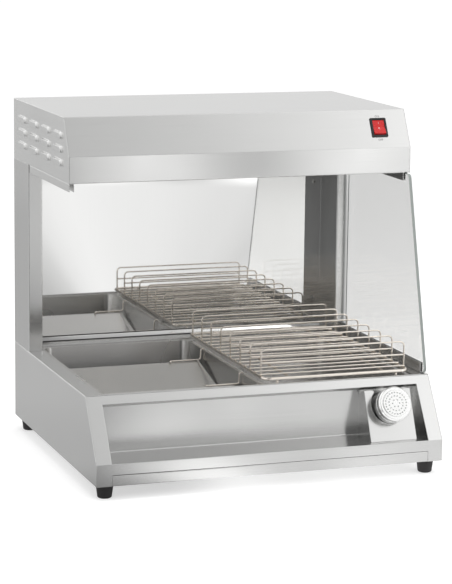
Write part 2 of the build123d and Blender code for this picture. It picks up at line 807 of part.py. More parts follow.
# Canopy end: a plate with rows of louvres.  Each louvre is a hood pressed out of
# the sheet, closed above and at its ends and open below.
louvre_reach = rear - louvre_rear_inset - louvre_length - canopy_top_y
louvre_columns = 1 + int(louvre_reach // louvre_column_pitch)
louvre_mouths = [
    (
        rear - louvre_rear_inset - louvre_length / 2 - column * louvre_column_pitch,
        canopy_z + louvre_first_row + row * louvre_row_pitch,
    )
    for row in range(louvre_rows)
    for column in range(louvre_columns)
]
louvre_inset = louvre_wall + louvre_bulge * tan(radians(louvre_taper))
slot_length = louvre_length - 2 * louvre_inset
slot_height = louvre_height - louvre_inset
with BuildPart() as canopy_end_right:
    with BuildSketch(Plane.YZ.offset(inner_half)):
        with BuildLine():
            Polyline(
                (canopy_front, canopy_z),
                (canopy_front, canopy_break_z),
                (canopy_top_y, canopy_top_z),
                (rear, canopy_top_z),
                (rear, canopy_z),
                close=True,
            )
        make_face()
    extrude(amount=sheet)
    fillet(faces().sort_by(Axis.X)[-1].edges(), edge_round)
    with BuildSketch(Plane.YZ.offset(half_width)):
        with Locations(*louvre_mouths):
            RectangleRounded(louvre_length, 2 * louvre_height, louvre_corner)
    extrude(amount=louvre_bulge, taper=louvre_taper)
    with BuildSketch(Plane.YZ.offset(half_width)):
        with Locations(*louvre_mouths):
            Rectangle(louvre_length, louvre_height, align=(Align.CENTER, Align.MAX))
    extrude(amount=louvre_bulge, mode=Mode.SUBTRACT)
    with BuildSketch(Plane.YZ.offset(inner_half)):
        with Locations(*louvre_mouths):
            RectangleRounded(slot_length, 2 * slot_height, louvre_corner - louvre_inset)
            Rectangle(
                louvre_length, louvre_height, align=(Align.CENTER, Align.MAX), mode=Mode.SUBTRACT
            )
    extrude(amount=sheet + louvre_bulge - louvre_wall, mode=Mode.SUBTRACT)

with BuildPart() as canopy_end_left:
    mirror(canopy_end_right.part, about=Plane.YZ)

emitter_y = canopy_front + emitter_setback
reflector_mouth = (2 * (half_width - reflector_inset), reflector_width)
reflector_top = (reflector_mouth[0] - reflector_taper[0], reflector_mouth[1] - reflector_taper[1])
with BuildPart() as canopy_underside:
    with Locations((0, canopy_front + band_flange, canopy_z)):
        Box(2 * inner_half, rear - sheet - canopy_front - band_flange, sheet, align=from_front)
    with Locations((0, emitter_y, canopy_z)):
        Box(*reflector_mouth, sheet, align=from_floor, mode=Mode.SUBTRACT)

# Reflector: a tapered hood over the emitters, with a flange on the underside and
# a slot for the neck of each emitter.
reflector_z = canopy_z + sheet
with BuildPart() as reflector:
    with BuildSketch(Plane.XY.offset(reflector_z)):
        with Locations((0, emitter_y)):
            Rectangle(*reflector_mouth)
    with BuildSketch(Plane.XY.offset(reflector_z + reflector_height)):
        with Locations((0, emitter_y)):
            Rectangle(*reflector_top)
    loft()
    offset(amount=-sheet, openings=faces().sort_by(Axis.Z)[0])
    with BuildSketch(Plane.XY.offset(reflector_z)):
        with Locations((0, emitter_y)):
            Rectangle(*(length + 2 * reflector_flange for length in reflector_mouth))
            Rectangle(*(length - 2 * sheet for length in reflector_mouth), mode=Mode.SUBTRACT)
    extrude(amount=sheet)
    with Locations((0, emitter_y, reflector_z + reflector_height)):
        with GridLocations(emitter_spacing, 1, 2, 1):
            Box(
                emitter_neck_length + 2 * emitter_neck_gap,
                emitter_neck_width + 2 * emitter_neck_gap,
                3 * sheet,
                mode=Mode.SUBTRACT,
            )

# Ceramic emitters: an arched tile with a square neck that carries its terminals.
emitter_z = canopy_z + emitter_lift
emitter_crown_z = emitter_z + emitter_sagitta + emitter_thickness
neck_top_z = reflector_z + reflector_height + emitter_neck_rise
emitter_half = emitter_width / 2
with BuildPart() as emitters:
    with BuildSketch(Plane.YZ):
        with BuildLine():
            ThreePointArc(
                (emitter_y - emitter_half, emitter_z),
                (emitter_y, emitter_z + emitter_sagitta),
                (emitter_y + emitter_half, emitter_z),
            )
            Line(
                (emitter_y + emitter_half, emitter_z),
                (emitter_y + emitter_half, emitter_z + emitter_thickness),
            )
            ThreePointArc(
                (emitter_y + emitter_half, emitter_z + emitter_thickness),
                (emitter_y, emitter_crown_z),
                (emitter_y - emitter_half, emitter_z + emitter_thickness),
            )
            Line(
                (emitter_y - emitter_half, emitter_z + emitter_thickness),
                (emitter_y - emitter_half, emitter_z),
            )
        make_face()
    extrude(amount=emitter_length / 2, both=True)
    with Locations((0, emitter_y, emitter_crown_z - emitter_thickness / 2)):
        Box(
            emitter_neck_length,
            emitter_neck_width,
            neck_top_z - emitter_crown_z + emitter_thickness / 2,
            align=from_floor,
        )
single_emitter = emitters.part
with BuildPart() as emitters:
    with GridLocations(emitter_spacing, 1, 2, 1):
        add(single_emitter)

with BuildPart() as emitter_terminals:
    with Locations((0, emitter_y, reflector_z + reflector_height)):
        with GridLocations(emitter_spacing, 1, 2, 1):
            with Locations((emitter_neck_length, 0)):
                Box(*terminal_size, align=from_floor)

# -------------------------------------------------------- side glass, channels
channel_outer = half_width - channel_inset
channel_inner = channel_outer - glass - 2 * (glass_gap + sheet)
channel_front = canopy_front + channel_setback
lower_channel_front = slope_top_y + lower_channel_setback
with BuildPart() as glass_channel_upper_right:
    with BuildSketch(Plane.XZ.offset(-channel_front)):
        bent_sheet(
            (channel_inner, canopy_z - channel_depth),
            (channel_inner, canopy_z),
            (channel_outer, canopy_z),
            (channel_outer, canopy_z - channel_depth),
        )
    extrude(amount=-(post_front - channel_front))

with BuildPart() as glass_channel_upper_left:
    mirror(glass_channel_upper_right.part, about=Plane.YZ)

with BuildPart() as glass_channel_lower:
    with BuildSketch(Plane.XZ.offset(-lower_channel_front)):
        bent_sheet(
            (channel_inner, deck_z + lower_channel_depth),
            (channel_inner, deck_z),
            (channel_outer, deck_z),
            (channel_outer, deck_z + lower_channel_depth),
            side=Side.LEFT,
        )
    extrude(amount=-(post_front - lower_channel_front))

glass_low_z = deck_z + sheet + glass_seat
glass_high_z = canopy_z - sheet - glass_gap
with BuildPart() as side_glass:
    with BuildSketch(Plane.YZ.offset(channel_inner + sheet + glass_gap)) as pane:
        with BuildLine():
            Polyline(
                (post_front - glass_rear_gap, glass_low_z),
                (post_front - glass_rear_gap, glass_high_z),
                (canopy_front - glass_top_reach, glass_high_z),
                (slope_top_y - glass_bottom_reach, glass_low_z),
                close=True,
            )
        make_face()
        fillet(vertices().sort_by(Axis.X)[:2], glass_corner)
    extrude(amount=glass)

# ---------------------------------------------------------------- rocker switch
# The rocker stands with its upper half, ON, pressed in.
pocket = (switch_body[0] - bezel_border, switch_body[1] - bezel_border)
pocket_depth = rocker_depth + rocker_rise
pin_half = pocket[0] / 2 + rocker_pin_reach
pivot = switch_face.from_local_coords((0, 0, -rocker_pivot_depth))
with BuildPart() as switch_housing:
    with BuildSketch(switch_face):
        RectangleRounded(bezel_width, bezel_height, bezel_corner)
    extrude(amount=bezel_thickness)
    chamfer(faces().sort_by(Axis(switch_face.origin, switch_face.z_dir))[-1].edges(), bezel_chamfer)
    with BuildSketch(switch_face):
        Rectangle(*switch_body)
    extrude(amount=-switch_body_depth)
    with BuildSketch(switch_face.offset(bezel_thickness)):
        Rectangle(*pocket)
    extrude(amount=-bezel_thickness - pocket_depth, mode=Mode.SUBTRACT)
    with BuildSketch(Plane(origin=pivot, z_dir=(1, 0, 0))):
        Circle(rocker_pin_radius + rocker_pin_play)
    extrude(amount=pin_half + rocker_pin_play, both=True, mode=Mode.SUBTRACT)

rocker_section = Plane(
    origin=pivot,
    x_dir=switch_face.y_dir.rotate(Axis.X, -rocker_tilt),
    z_dir=(1, 0, 0),
)
rocker_reach = pocket[1] / 2 - rocker_gap
rocker_top = rocker_pivot_depth + rocker_rise
with BuildPart() as switch_rocker:
    with BuildSketch(rocker_section):
        with BuildLine():
            Polyline(
                (-rocker_reach, rocker_pivot_depth - rocker_depth),
                (rocker_reach, rocker_pivot_depth - rocker_depth),
                (rocker_reach, rocker_top),
                (0, rocker_top - rocker_dish),
                (-rocker_reach, rocker_top),
                close=True,
            )
        make_face()
        Circle(rocker_reach, mode=Mode.INTERSECT)
    extrude(amount=pocket[0] / 2 - rocker_gap, both=True)
    with BuildSketch(Plane(origin=pivot, z_dir=(1, 0, 0))):
        Circle(rocker_pin_radius)
    extrude(amount=pin_half, both=True)

# ------------------------------------------------------ salt shaker and cradle
lean = radians(cradle_lean)
cradle_x = well_half - cradle_inset_x
cradle_face = Plane(
    origin=(cradle_x, front + cradle_setback, nose_z),
    x_dir=(1, 0, 0),
    z_dir=(0, -cos(lean), sin(lean)),
)
hole_radius = can_radius + can_play
cradle_rear_top = cradle_face.from_local_coords((0, cradle_length, -sheet))
cradle_half = cradle_width / 2
with BuildPart() as shaker_cradle:
    with BuildSketch(cradle_face):
        Rectangle(cradle_width, cradle_length, align=(Align.CENTER, Align.MIN))
        with Locations((0, cradle_hole_up)):
            Circle(hole_radius, mode=Mode.SUBTRACT)
        fillet(vertices().group_by(Axis.Y)[-1].sort_by(Axis.X)[1:3], cradle_cusp)
    extrude(amount=-sheet)
    for inner_x in (cradle_x - cradle_half, cradle_x + cradle_half - sheet):
        with BuildSketch(Plane.YZ.offset(inner_x)):
            with BuildLine():
                Polyline(
                    (front + cradle_setback + sheet / cos(lean), nose_z),
                    (shelf_back_y, nose_z),
                    (shelf_back_y, cradle_rear_top.Z - cheek_fall),
                    (cradle_rear_top.Y, cradle_rear_top.Z),
                    close=True,
                )
            make_face()
        extrude(amount=sheet)
    split(bisect_by=Plane.XY.offset(nose_z), keep=Keep.TOP)
    with BuildSketch(cradle_face.offset(-stop_distance)):
        with Locations((0, stop_low)):
            Rectangle(cradle_width, stop_high - stop_low, align=(Align.CENTER, Align.MIN))
    extrude(amount=-sheet)

shaker_up = cradle_hole_up - can_play + can_gap
shaker = Plane(
    origin=cradle_face.from_local_coords((0, shaker_up, 0)),
    x_dir=cradle_face.x_dir,
    z_dir=cradle_face.z_dir,
)
shaker_section = Plane(origin=shaker.origin, x_dir=shaker.x_dir, z_dir=-shaker.y_dir)
shaker_axis = Axis(shaker.origin, shaker.z_dir)
can_base = -stop_distance + can_gap
with BuildPart() as salt_shaker_can:
    with BuildSketch(shaker_section):
        with BuildLine():
            Polyline(
                (0, can_base),
                (can_radius, can_base),
                (can_radius, can_front),
                (can_radius - can_wall, can_front),
                (can_radius - can_wall, can_base + can_wall),
                (0, can_base + can_wall),
                close=True,
            )
        make_face()
    revolve(axis=shaker_axis)

lid_top = lid_front + lid_disc_rise
lid_bottom = lid_front - lid_skirt
with BuildPart() as salt_shaker_lid:
    with BuildSketch(shaker_section):
        with BuildLine():
            Polyline(
                (0, lid_bottom),
                (lid_radius + lid_hem, lid_bottom),
                (lid_radius + lid_hem, lid_bottom + 2 * lid_hem),
                (lid_radius, lid_bottom + 2 * lid_hem),
                (lid_radius, lid_front - lid_shoulder),
                (lid_radius - lid_shoulder, lid_front),
                (lid_disc_radius, lid_front),
                (lid_disc_radius, lid_top),
                (0, lid_top),
                close=True,
            )
        make_face()
    revolve(axis=shaker_axis)
    with BuildSketch(shaker_section):
        with BuildLine():
            Polyline(
                (0, lid_bottom),
                (can_radius + lid_fit, lid_bottom),
                (can_radius + lid_fit, lid_front - lid_shoulder),
                (lid_radius - lid_shoulder - lid_wall, lid_front - lid_wall),
                (lid_disc_radius - lid_wall, lid_front - lid_wall),
                (lid_disc_radius - lid_wall, lid_top - lid_wall),
                (0, lid_top - lid_wall),
                close=True,
            )
        make_face()
    revolve(axis=shaker_axis, mode=Mode.SUBTRACT)
    with BuildSketch(shaker.offset(lid_top)):
        for hole_count, ring_radius in zip(lid_ring_counts, lid_ring_radii):
            with PolarLocations(ring_radius, hole_count):
                Circle(lid_hole_radius)
    extrude(amount=-2 * lid_wall, mode=Mode.SUBTRACT)

# --------------------------------------------------------------- write each one
pieces = {
    "base_side_left": base_side_left,
    "base_side_right": base_side_right,
    "base_front": base_front,
    "base_floor": base_floor,
    "base_back": base_back,
    "deck": deck,
    "pan_ledge": pan_ledge,
    "shelf_liner": shelf_liner,
    "shelf_end_left": shelf_end_left,
    "shelf_end_right": shelf_end_right,
    "foot_front_left": foot_front_left,
    "foot_front_right": foot_front_right,
    "foot_rear_left": foot_rear_left,
    "foot_rear_right": foot_rear_right,
    "foot_screws": foot_screws,
    "cable_gland": cable_gland,
    "crumb_tray": crumb_tray,
    "crumb_tray_front": crumb_tray_front,
    "tray_runners": tray_runners,
    "chip_pan": chip_pan,
    "drip_pan": drip_pan,
    "chip_trough": chip_trough,
    "trough_hangers": trough_hangers,
    "rack_rail": rack_rail,
    "rack_floor_wires": rack_floor_wires,
    "rack_support_wires": rack_support_wires,
    "rack_posts": rack_posts,
    "rack_top_wires": rack_top_wires,
    "rack_middle_wires": rack_middle_wires,
    "rack_feet": rack_feet,
    "heat_shield": heat_shield,
    "base_elements": base_elements,
    "element_clips": element_clips,
    "element_terminals": element_terminals,
    "post_left": post_left,
    "post_right": post_right,
    "mirror_panel": mirror_panel,
    "mirror_screws": mirror_screws,
    "back_panel": back_panel,
    "canopy_shell": canopy_shell,
    "canopy_end_left": canopy_end_left,
    "canopy_end_right": canopy_end_right,
    "canopy_underside": canopy_underside,
    "reflector": reflector,
    "emitters": emitters,
    "emitter_terminals": emitter_terminals,
    "glass_channel_upper_left": glass_channel_upper_left,
    "glass_channel_upper_right": glass_channel_upper_right,
    "glass_channel_lower": glass_channel_lower,
    "side_glass": side_glass,
    "switch_housing": switch_housing,
    "switch_rocker": switch_rocker,
    "shaker_cradle": shaker_cradle,
    "salt_shaker_can": salt_shaker_can,
    "salt_shaker_lid": salt_shaker_lid,
}
for label, piece in pieces.items():
    piece.part.label = label
    export_step(piece.part, f"parts/{label}.step")
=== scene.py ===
# %% [markdown]
# # A chip warmer in folded stainless steel
# A counter-top cabinet keeps fried chips warm. Its base is a well with two pans under a heated canopy,
# which stands on two rear posts. The construction is already made: every panel, pan, wire and emitter
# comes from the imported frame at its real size. This lesson gives each of them its finish, adds the
# small things that a camera notices, and lights it as plain metalware is lit in a studio.

from math import atan2, cos, pi, radians, sin, tan

import bpy
from mathutils import Matrix, Vector


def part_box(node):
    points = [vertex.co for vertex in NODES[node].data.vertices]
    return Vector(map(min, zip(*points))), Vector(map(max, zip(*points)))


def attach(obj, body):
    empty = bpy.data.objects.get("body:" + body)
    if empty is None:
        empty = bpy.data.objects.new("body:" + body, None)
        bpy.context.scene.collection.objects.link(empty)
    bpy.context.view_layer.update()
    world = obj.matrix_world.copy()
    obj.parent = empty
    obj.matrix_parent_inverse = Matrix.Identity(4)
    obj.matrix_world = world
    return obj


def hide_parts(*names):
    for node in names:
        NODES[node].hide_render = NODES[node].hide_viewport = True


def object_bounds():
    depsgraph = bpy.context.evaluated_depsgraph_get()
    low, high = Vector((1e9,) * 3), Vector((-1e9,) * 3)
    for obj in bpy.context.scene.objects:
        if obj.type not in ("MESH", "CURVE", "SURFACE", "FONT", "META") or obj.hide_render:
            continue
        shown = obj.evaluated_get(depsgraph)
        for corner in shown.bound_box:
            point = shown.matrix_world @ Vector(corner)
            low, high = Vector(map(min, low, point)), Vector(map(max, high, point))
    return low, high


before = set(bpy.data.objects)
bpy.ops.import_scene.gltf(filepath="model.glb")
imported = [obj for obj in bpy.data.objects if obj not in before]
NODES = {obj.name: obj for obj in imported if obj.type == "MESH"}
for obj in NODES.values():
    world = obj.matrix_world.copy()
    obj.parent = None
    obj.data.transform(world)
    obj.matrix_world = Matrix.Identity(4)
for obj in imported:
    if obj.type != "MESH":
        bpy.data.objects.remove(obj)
cad_low, cad_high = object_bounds()
scene = bpy.context.scene
bpy.ops.object.select_all(action="DESELECT")
MM = 0.001
print("cabinet size in mm:", [round(v / MM) for v in cad_high - cad_low])

# %% [markdown]
# ## Camera
# The camera stands to the front left of the cabinet, a little above it and four and a half metres away.
# A long lens keeps the canopy's edges nearly parallel, as catalogue pictures of kitchen machines do.
# Its place is given in the cabinet's own frame, and its turn as three plain angles.

# %% Place the camera
CAMERA_PLACE = Vector((-1495.1, -4263.9, 1151.8)) * MM
CAMERA_AZIMUTH = radians(19.41)
CAMERA_ELEVATION = radians(10.38)
CAMERA_ROLL = radians(0.68)
LENS_MM = 141.65

forward = Vector((
    sin(CAMERA_AZIMUTH) * cos(CAMERA_ELEVATION),
    cos(CAMERA_AZIMUTH) * cos(CAMERA_ELEVATION),
    -sin(CAMERA_ELEVATION),
))
level_right = Vector((cos(CAMERA_AZIMUTH), -sin(CAMERA_AZIMUTH), 0))
level_up = level_right.cross(forward)
rolled_right = level_right * cos(CAMERA_ROLL) + level_up * sin(CAMERA_ROLL)
rolled_up = level_up * cos(CAMERA_ROLL) - level_right * sin(CAMERA_ROLL)
lens = bpy.data.cameras.new("camera")
lens.lens = LENS_MM
lens.clip_end = 100
camera = bpy.data.objects.new("camera", lens)
scene.collection.objects.link(camera)
camera.matrix_world = Matrix.Translation(CAMERA_PLACE) @ Matrix((
    rolled_right, rolled_up, -forward,
)).transposed().to_4x4()
scene.camera = camera
print("camera is", round((CAMERA_PLACE - (cad_low + cad_high) / 2).length, 2), "m from the cabinet")

# %% [markdown]
# ## Colours and nodes
# Colours are picked as they look on a screen, as sRGB hex values, but shaders work in linear light.
# One function turns the first into the second. A second one adds a shader node with its settings
# and its inputs, so that each material below reads as a short recipe.

# %% Colour and node helpers
def linear(hex_colour):
    """Turn an sRGB hex value such as "#c2c2c0" into linear red, green, blue and alpha."""
    parts = [int(hex_colour[i:i + 2], 16) / 255 for i in (1, 3, 5)]
    return [p / 12.92 if p <= 0.04045 else ((p + 0.055) / 1.055) ** 2.4 for p in parts] + [1.0]


def add_node(tree, kind, inputs=None, **settings):
    """Add a node, set its properties, then fill its inputs with values or with other nodes' outputs."""
    made = tree.nodes.new(kind)
    for key, value in settings.items():
        setattr(made, key, value)
    for key, value in (inputs or {}).items():
        if isinstance(value, bpy.types.NodeSocket):
            tree.links.new(value, made.inputs[key])
        else:
            made.inputs[key].default_value = value
    return made


def new_material(name):
    """Make an empty material and return it with its node tree and its surface output."""
    made = bpy.data.materials.new(name)
    made.use_nodes = True
    made.node_tree.nodes.clear()
    output = made.node_tree.nodes.new("ShaderNodeOutputMaterial")
    return made, made.node_tree, output


def finish_material(tree, output, shader):
    """Join the last shader to the surface output."""
    tree.links.new(shader.outputs[0], output.inputs["Surface"])


def dress(material, *names):
    """Give one material to several CAD nodes."""
    for name in names:
        NODES[name].data.materials.clear()
        NODES[name].data.materials.append(material)


print("white is", linear("#ffffff")[:3])

# %% [markdown]
# ## Studio light
# Bare steel has hardly any colour of its own: it shows the room. So the room is drawn with care, as a
# photographer flags and lights a set for metalware. Walking round it from the left, there is a pale
# wall, then the dark corner where the camera stands, then a low bright window and a long pale wall
# to the right. Behind the cabinet hangs a dim sweep. Only reflections see this room: the camera and
# the glass look at plain white, and matt things get one even light.

# %% Tones of the room
# Brightness of the room by compass angle, in degrees from straight in front of the cabinet, to the right.
ROOM_WALL = (
    (-180, 0.70),
    (-170, 1.35),
    (-110, 1.35),
    (-90, 1.05),
    (-60, 1.05),
    (-46, 0.90),
    (-36, 0.18),
    (-4, 0.18),
    (8, 0.50),
    (22, 0.62),
    (25, 0.74),
    (27, 0.75),
    (29, 0.72),
    (31, 0.88),
    (33, 1.00),
    (35, 1.60),
    (45, 1.25),
    (90, 1.00),
    (150, 0.93),
    (166, 0.93),
    (180, 0.62),
)
LOW_WINDOW = (29.0, 9.0, 0.60)      # its middle, half its width and how much it adds
WINDOW_TOP = (0.58, 0.66)           # heights between which it fades out: 0 is level, 1 straight up
CEILING_EDGE = (0.86, 0.98)         # heights between which the walls turn into the ceiling
OVERHEAD = 0.90
EVEN_LIGHT = 0.75
print("room walls:", len(ROOM_WALL), "tones and a low window")


# %% Helpers that turn an angle into a tone
def as_share(angle):
    """Turn an angle from -180 to 180 degrees into a share from 0 to 1."""
    return (angle + 180) / 360


def compass_angle(tree, vector):
    """Angle of a vector round the cabinet, as 0 to 1 for -180 to 180 degrees from the front."""
    parts = add_node(tree, "ShaderNodeSeparateXYZ", {0: vector})
    to_front = add_node(tree, "ShaderNodeMath", {0: parts.outputs["Y"], 1: -1.0}, operation="MULTIPLY")
    angle = add_node(tree, "ShaderNodeMath", {
        0: parts.outputs["X"],
        1: to_front.outputs[0],
    }, operation="ARCTAN2")
    return add_node(tree, "ShaderNodeMapRange", {
        "Value": angle.outputs[0],
        "From Min": -pi,
        "From Max": pi,
    }).outputs["Result"]


def grey_ramp(tree, factor, stops):
    """A ramp of greys, which may be brighter than white, at angles from -180 to 180 degrees."""
    top = max(grey for angle, grey in stops)
    ramp = add_node(tree, "ShaderNodeValToRGB", {"Fac": factor})
    ramp.color_ramp.interpolation = "EASE"
    for angle, grey in stops[1:-1]:
        ramp.color_ramp.elements.new(as_share(angle))
    for stop, (angle, grey) in zip(ramp.color_ramp.elements, stops):
        stop.color = (grey / top,) * 3 + (1,)
    return add_node(tree, "ShaderNodeMath", {
        0: ramp.outputs["Color"],
        1: top,
    }, operation="MULTIPLY").outputs[0]


print("straight ahead is at", as_share(0), "of the ramp")

# %% Draw the room that the steel reflects
world = bpy.data.worlds.new("studio_room")
scene.world = world
world.use_nodes = True
sky = world.node_tree
sky.nodes.clear()
coordinates = add_node(sky, "ShaderNodeTexCoord")
height = add_node(sky, "ShaderNodeSeparateXYZ", {0: coordinates.outputs["Generated"]}).outputs["Z"]
round_angle = compass_angle(sky, coordinates.outputs["Generated"])
wall = grey_ramp(sky, round_angle, ROOM_WALL)
window_middle, window_half, window_gain = LOW_WINDOW
offset = add_node(sky, "ShaderNodeMath", {
    0: round_angle,
    1: as_share(window_middle),
}, operation="SUBTRACT")
distance = add_node(sky, "ShaderNodeMath", {0: offset.outputs[0]}, operation="ABSOLUTE")
window = add_node(sky, "ShaderNodeMapRange", {
    "Value": distance.outputs[0],
    "From Min": 0.0,
    "From Max": window_half / 360,
    "To Min": window_gain,
    "To Max": 0.0,
}, interpolation_type="SMOOTHSTEP")
low_only = add_node(sky, "ShaderNodeMapRange", {
    "Value": height,
    "From Min": WINDOW_TOP[0],
    "From Max": WINDOW_TOP[1],
    "To Min": 1.0,
    "To Max": 0.0,
})
kept = add_node(sky, "ShaderNodeMath", {0: window.outputs[0], 1: low_only.outputs[0]}, operation="MULTIPLY")
wall = add_node(sky, "ShaderNodeMath", {0: wall, 1: kept.outputs[0]}, operation="ADD").outputs[0]
ceiling = add_node(sky, "ShaderNodeMapRange", {
    "Value": height,
    "From Min": CEILING_EDGE[0],
    "From Max": CEILING_EDGE[1],
})
room_level = add_node(sky, "ShaderNodeMix", {
    0: ceiling.outputs[0],
    2: wall,
    3: OVERHEAD,
}, data_type="FLOAT")
room_light = add_node(sky, "ShaderNodeBackground", {
    "Color": linear("#ffffff"),
    "Strength": room_level.outputs[0],
})
even_light = add_node(sky, "ShaderNodeBackground", {"Color": linear("#ffffff"), "Strength": EVEN_LIGHT})
plain_white = add_node(sky, "ShaderNodeBackground", {"Color": linear("#ffffff"), "Strength": 1.0})
ray = add_node(sky, "ShaderNodeLightPath")
reflected = add_node(sky, "ShaderNodeMixShader", {
    0: ray.outputs["Is Glossy Ray"],
    1: even_light.outputs[0],
    2: room_light.outputs[0],
})
seen_white = add_node(sky, "ShaderNodeMath", {
    0: ray.outputs["Is Camera Ray"],
    1: ray.outputs["Is Transmission Ray"],
}, operation="MAXIMUM")
room = add_node(sky, "ShaderNodeMixShader", {
    0: seen_white.outputs[0],
    1: reflected.outputs[0],
    2: plain_white.outputs[0],
})
add_node(sky, "ShaderNodeOutputWorld", {"Surface": room.outputs[0]})
print("room drawn with", len(sky.nodes), "nodes")

# %% [markdown]
# ## Lamps
# Three wide lamps light what is matt and draw the shadow on the floor: one overhead, a strong one to the
# front right and a weak one to the front left. A fourth, small and faint, hangs under the canopy and
# lifts the shade in the heated bay.

# %% Hang the lamps
BAY_LAMP_DROP = 4 * MM


def soft_lamp(name, place, aim, size, watts):
    """Hang a wide lamp at a place and point it at another. Steel doesn't mirror it: the room does that."""
    data = bpy.data.lights.new(name, "AREA")
    data.shape = "RECTANGLE"
    data.size, data.size_y = size
    data.energy = watts
    lamp = bpy.data.objects.new(name, data)
    scene.collection.objects.link(lamp)
    lamp.location = place
    lamp.rotation_euler = (Vector(aim) - Vector(place)).to_track_quat("-Z", "Y").to_euler()
    lamp.visible_glossy = False
    return lamp


middle = (cad_low + cad_high) / 2
soft_lamp("lamp_overhead", (0.2, -0.3, 2.6), middle, (2.4, 1.8), 26)
soft_lamp("lamp_front_right", (2.2, -2.2, 1.7), middle, (1.6, 1.6), 22)
soft_lamp("lamp_front_left", (-2.4, -2.0, 1.5), middle, (1.4, 1.4), 8)
bay_low, bay_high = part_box("canopy_underside")
bay_middle = (bay_low + bay_high) / 2
bay_middle.z = bay_low.z - BAY_LAMP_DROP
bay_lamp = soft_lamp("lamp_in_canopy", bay_middle, (bay_middle.x, bay_middle.y, 0), (0.5, 0.30), 0.2)
bay_lamp.visible_glossy = True
bay_lamp.visible_camera = False
bay_lamp.visible_transmission = False

# %% [markdown]
# ## Floor
# The floor is a pale board that carries on to the horizon. It is lit like anything else, so the
# cabinet's shadow falls on it, and rays that look at it directly are lifted to white. What steel
# mirrors of it is drawn in three rings round the cabinet. In each ring the tone goes by the compass
# angle, as the room's does, and the two outer rings have a dark patch to the front left.

# %% Tones of the floor's three rings
FOOT_TONES = (
    (-180, 0.55),
    (-90, 0.52),
    (-40, 0.25),
    (-32, 0.35),
    (-27, 0.72),
    (-19, 1.30),
    (-12, 1.48),
    (-6, 1.42),
    (0, 1.12),
    (8, 0.90),
    (16, 0.86),
    (31, 1.12),
    (42, 0.95),
    (90, 0.95),
    (140, 0.80),
    (180, 0.55),
)
NEAR_TONES = (
    (-180, 0.55),
    (-125, 0.58),
    (-95, 0.72),
    (-60, 0.80),
    (-44, 0.60),
    (-34, 0.10),
    (-9, 0.10),
    (-4, 0.40),
    (0, 0.58),
    (6, 0.60),
    (8, 0.74),
    (10, 0.92),
    (12, 1.02),
    (17, 0.96),
    (24, 0.86),
    (27, 0.76),
    (32, 0.92),
    (90, 0.95),
    (180, 0.55),
)
FAR_TONES = (
    (-180, 0.60),
    (-60, 0.80),
    (-36, 0.05),
    (-10, 0.05),
    (10.6, 0.05),
    (11.5, 0.15),
    (12.3, 0.90),
    (13.4, 1.70),
    (14.6, 2.90),
    (15.6, 2.45),
    (16.6, 1.45),
    (18.2, 0.65),
    (19.8, 0.25),
    (21, 0.60),
    (22.6, 1.60),
    (24.3, 2.75),
    (25.6, 1.60),
    (27, 1.10),
    (30, 1.00),
    (60, 1.05),
    (120, 0.90),
    (180, 0.60),
)
FOOT_EDGE = (0.57, 0.77)            # metres from the middle, where one ring fades into the next
NEAR_EDGE = (3.4, 4.2)
print("floor rings have", len(FOOT_TONES), len(NEAR_TONES), "and", len(FAR_TONES), "tones")

# %% Lay the floor
FLOOR_HALF = 30.0
CAMERA_LIFT = 0.50
GLASS_LIFT = 0.42
bpy.ops.mesh.primitive_plane_add(size=2 * FLOOR_HALF, location=(0, 0, 0))
floor = bpy.context.object
floor.name = "studio_floor"
pale, tree, output = new_material("pale studio board")
matt = add_node(tree, "ShaderNodeBsdfDiffuse", {"Color": linear("#dcdcdc")})
ray = add_node(tree, "ShaderNodeLightPath")
lifts = [add_node(tree, "ShaderNodeMath", {0: ray.outputs[kind], 1: strength}, operation="MULTIPLY")
         for kind, strength in (("Is Camera Ray", CAMERA_LIFT), ("Is Transmission Ray", GLASS_LIFT))]
lift = add_node(tree, "ShaderNodeMath", {
    0: lifts[0].outputs[0],
    1: lifts[1].outputs[0],
}, operation="MAXIMUM")
glow = add_node(tree, "ShaderNodeEmission", {"Color": linear("#ffffff"), "Strength": lift.outputs[0]})
lit_board = add_node(tree, "ShaderNodeAddShader", {0: matt.outputs[0], 1: glow.outputs[0]})
place = add_node(tree, "ShaderNodeTexCoord")
floor_angle = compass_angle(tree, place.outputs["Object"])
reach = add_node(tree, "ShaderNodeVectorMath", {0: place.outputs["Object"]}, operation="LENGTH")
tone = grey_ramp(tree, floor_angle, FOOT_TONES)
for tones, edge in ((NEAR_TONES, FOOT_EDGE), (FAR_TONES, NEAR_EDGE)):
    beyond = add_node(tree, "ShaderNodeMapRange", {
        "Value": reach.outputs["Value"],
        "From Min": edge[0],
        "From Max": edge[1],
    })
    tone = add_node(tree, "ShaderNodeMix", {
        0: beyond.outputs[0],
        2: tone,
        3: grey_ramp(tree, floor_angle, tones),
    }, data_type="FLOAT").outputs[0]
mirrored = add_node(tree, "ShaderNodeEmission", {"Color": linear("#ffffff"), "Strength": tone})
bounced = add_node(tree, "ShaderNodeMath", {
    0: ray.outputs["Is Glossy Ray"],
    1: ray.outputs["Is Transmission Ray"],
}, operation="SUBTRACT", use_clamp=True)
board = add_node(tree, "ShaderNodeMixShader", {
    0: bounced.outputs[0],
    1: lit_board.outputs[0],
    2: mirrored.outputs[0],
})
underside = add_node(tree, "ShaderNodeNewGeometry").outputs["Backfacing"]
open_below = add_node(tree, "ShaderNodeMixShader", {
    0: underside,
    1: board.outputs[0],
    2: add_node(tree, "ShaderNodeBsdfTransparent").outputs[0],
})
finish_material(tree, output, open_below)
floor.data.materials.append(pale)
bpy.ops.object.select_all(action="DESELECT")
print("floor laid")

